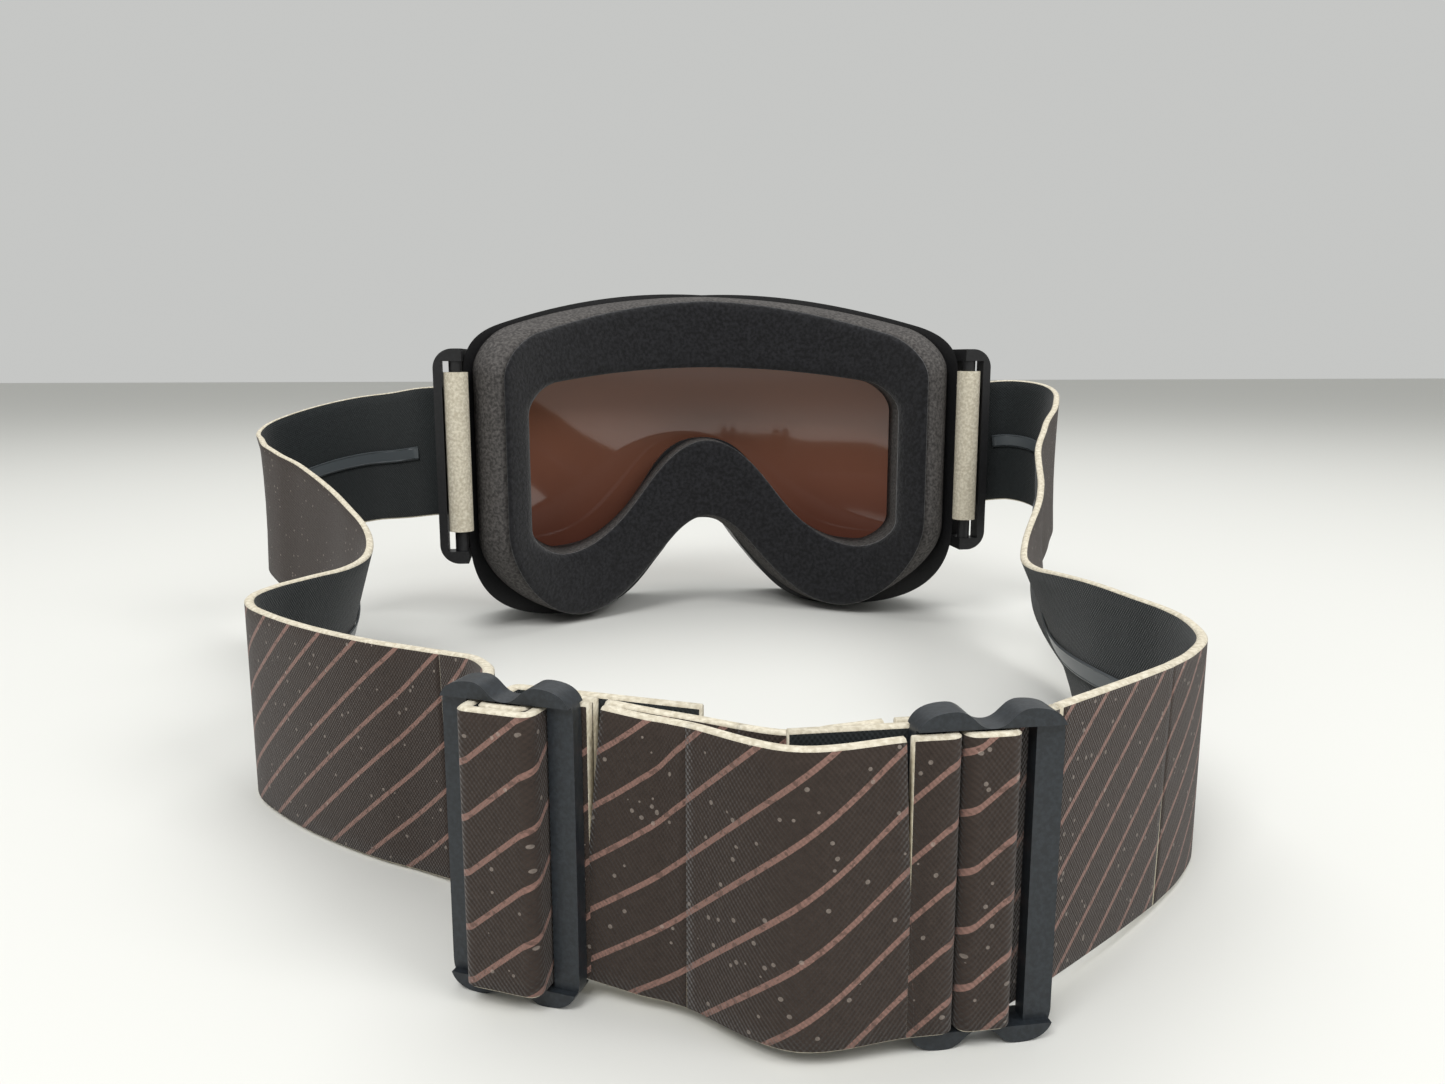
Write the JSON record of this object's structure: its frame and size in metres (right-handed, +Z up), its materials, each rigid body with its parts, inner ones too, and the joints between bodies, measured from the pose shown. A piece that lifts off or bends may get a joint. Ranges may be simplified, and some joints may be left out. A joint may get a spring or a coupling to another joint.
{
  "type": "ski goggles",
  "caption": "Framed double-lens snow goggles with layered face foam, strap outriggers and a wide elastic strap with sliding adjusters.",
  "frame": {"origin": "on the surface that the goggles stand on, under the middle of the line between the two strap anchors", "axes": "+X to the wearer's right, +Y forward out of the lens, +Z up"},
  "size_m": [0.2512, 0.2894, 0.1102],
  "materials": {
    "frame_rubber": "soft satin moulded plastic",
    "charcoal_foam": "open-cell foam, matte",
    "black_fleece": "short fleece, matte",
    "vent_foam": "coarse open-cell foam, matte",
    "rose_lens": "tinted polycarbonate, gloss",
    "gasket_foam": "closed-cell foam, matte",
    "black_plastic": "satin moulded plastic",
    "cream_webbing": "ribbed webbing, matte",
    "slide_plastic": "satin moulded plastic",
    "strap_elastic": "woven elastic, matte",
    "silicone": "clear silicone, satin"
  },
  "bodies": {
    "goggles": {"frame": "frame_rubber", "face_foam_base": "charcoal_foam", "face_foam_middle": "charcoal_foam", "face_fleece": "black_fleece", "top_vent_foam": "vent_foam", "left_lower_vent_foam": "vent_foam", "right_lower_vent_foam": "vent_foam", "outer_lens": "rose_lens", "inner_lens": "rose_lens", "lens_gasket": "gasket_foam", "left_outrigger": "black_plastic", "right_outrigger": "black_plastic", "left_strap_bar": "black_plastic", "right_strap_bar": "black_plastic", "left_anchor_sleeve": "cream_webbing", "right_anchor_sleeve": "cream_webbing", "left_strap_run": "strap_elastic", "right_strap_run": "strap_elastic", "left_strap_link": "strap_elastic", "right_strap_link": "strap_elastic", "left_strap_back_outer_half": "strap_elastic", "left_strap_back_inner_half": "strap_elastic", "right_strap_back_outer_half": "strap_elastic", "right_strap_back_inner_half": "strap_elastic", "left_grip_line": "silicone", "right_grip_line": "silicone"},
    "left_adjuster": {"left_slide": "slide_plastic", "left_strap_wrap": "strap_elastic", "right_strap_end_loop": "strap_elastic"},
    "right_adjuster": {"right_slide": "slide_plastic", "right_strap_wrap": "strap_elastic", "left_strap_end_loop": "strap_elastic"}
  },
  "joints": [
    {"name": "left_slide_travel", "type": "slide", "parent": "goggles", "child": "left_adjuster", "axis": [0.8829, -0.4695, 0], "range_m": [-0.018, 0.008], "deforming": ["left_strap_link", "left_strap_back_outer_half", "right_strap_back_inner_half"]},
    {"name": "right_slide_travel", "type": "slide", "parent": "goggles", "child": "right_adjuster", "axis": [1, 0, 0], "range_m": [-0.008, 0.018], "deforming": ["right_strap_link", "left_strap_back_inner_half", "right_strap_back_outer_half"]}
  ]
}
